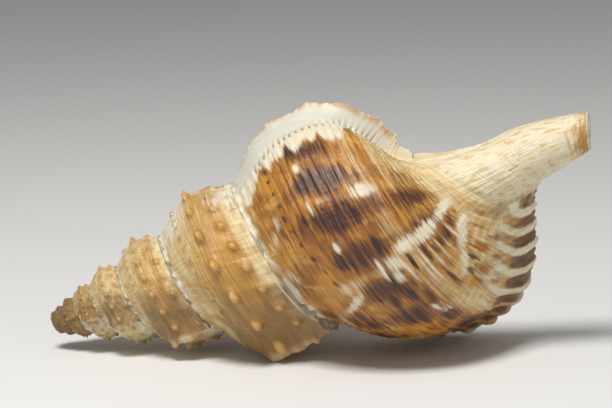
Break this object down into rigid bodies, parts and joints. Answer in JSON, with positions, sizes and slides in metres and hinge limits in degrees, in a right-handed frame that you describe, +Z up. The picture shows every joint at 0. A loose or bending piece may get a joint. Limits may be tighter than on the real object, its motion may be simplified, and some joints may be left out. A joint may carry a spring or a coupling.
{
  "type": "frog shell",
  "caption": "Tall coiled sea snail shell with nodules, old lips along the spire, a broad last whorl, a flared mouth and a long open canal.",
  "frame": {"origin": "middle of the shell's box, on the plane that the shell rests on", "axes": "+Z up as the shell rests; the shell's own axis lies over X, apex at -X and the canal's end at +X; the mouth opens to +Y"},
  "size_m": [0.1432, 0.0608, 0.0658],
  "materials": {
    "shell_lime": "satin to matt, worn"
  },
  "bodies": {
    "root": {"shell": "shell_lime"}
  },
  "joints": []
}
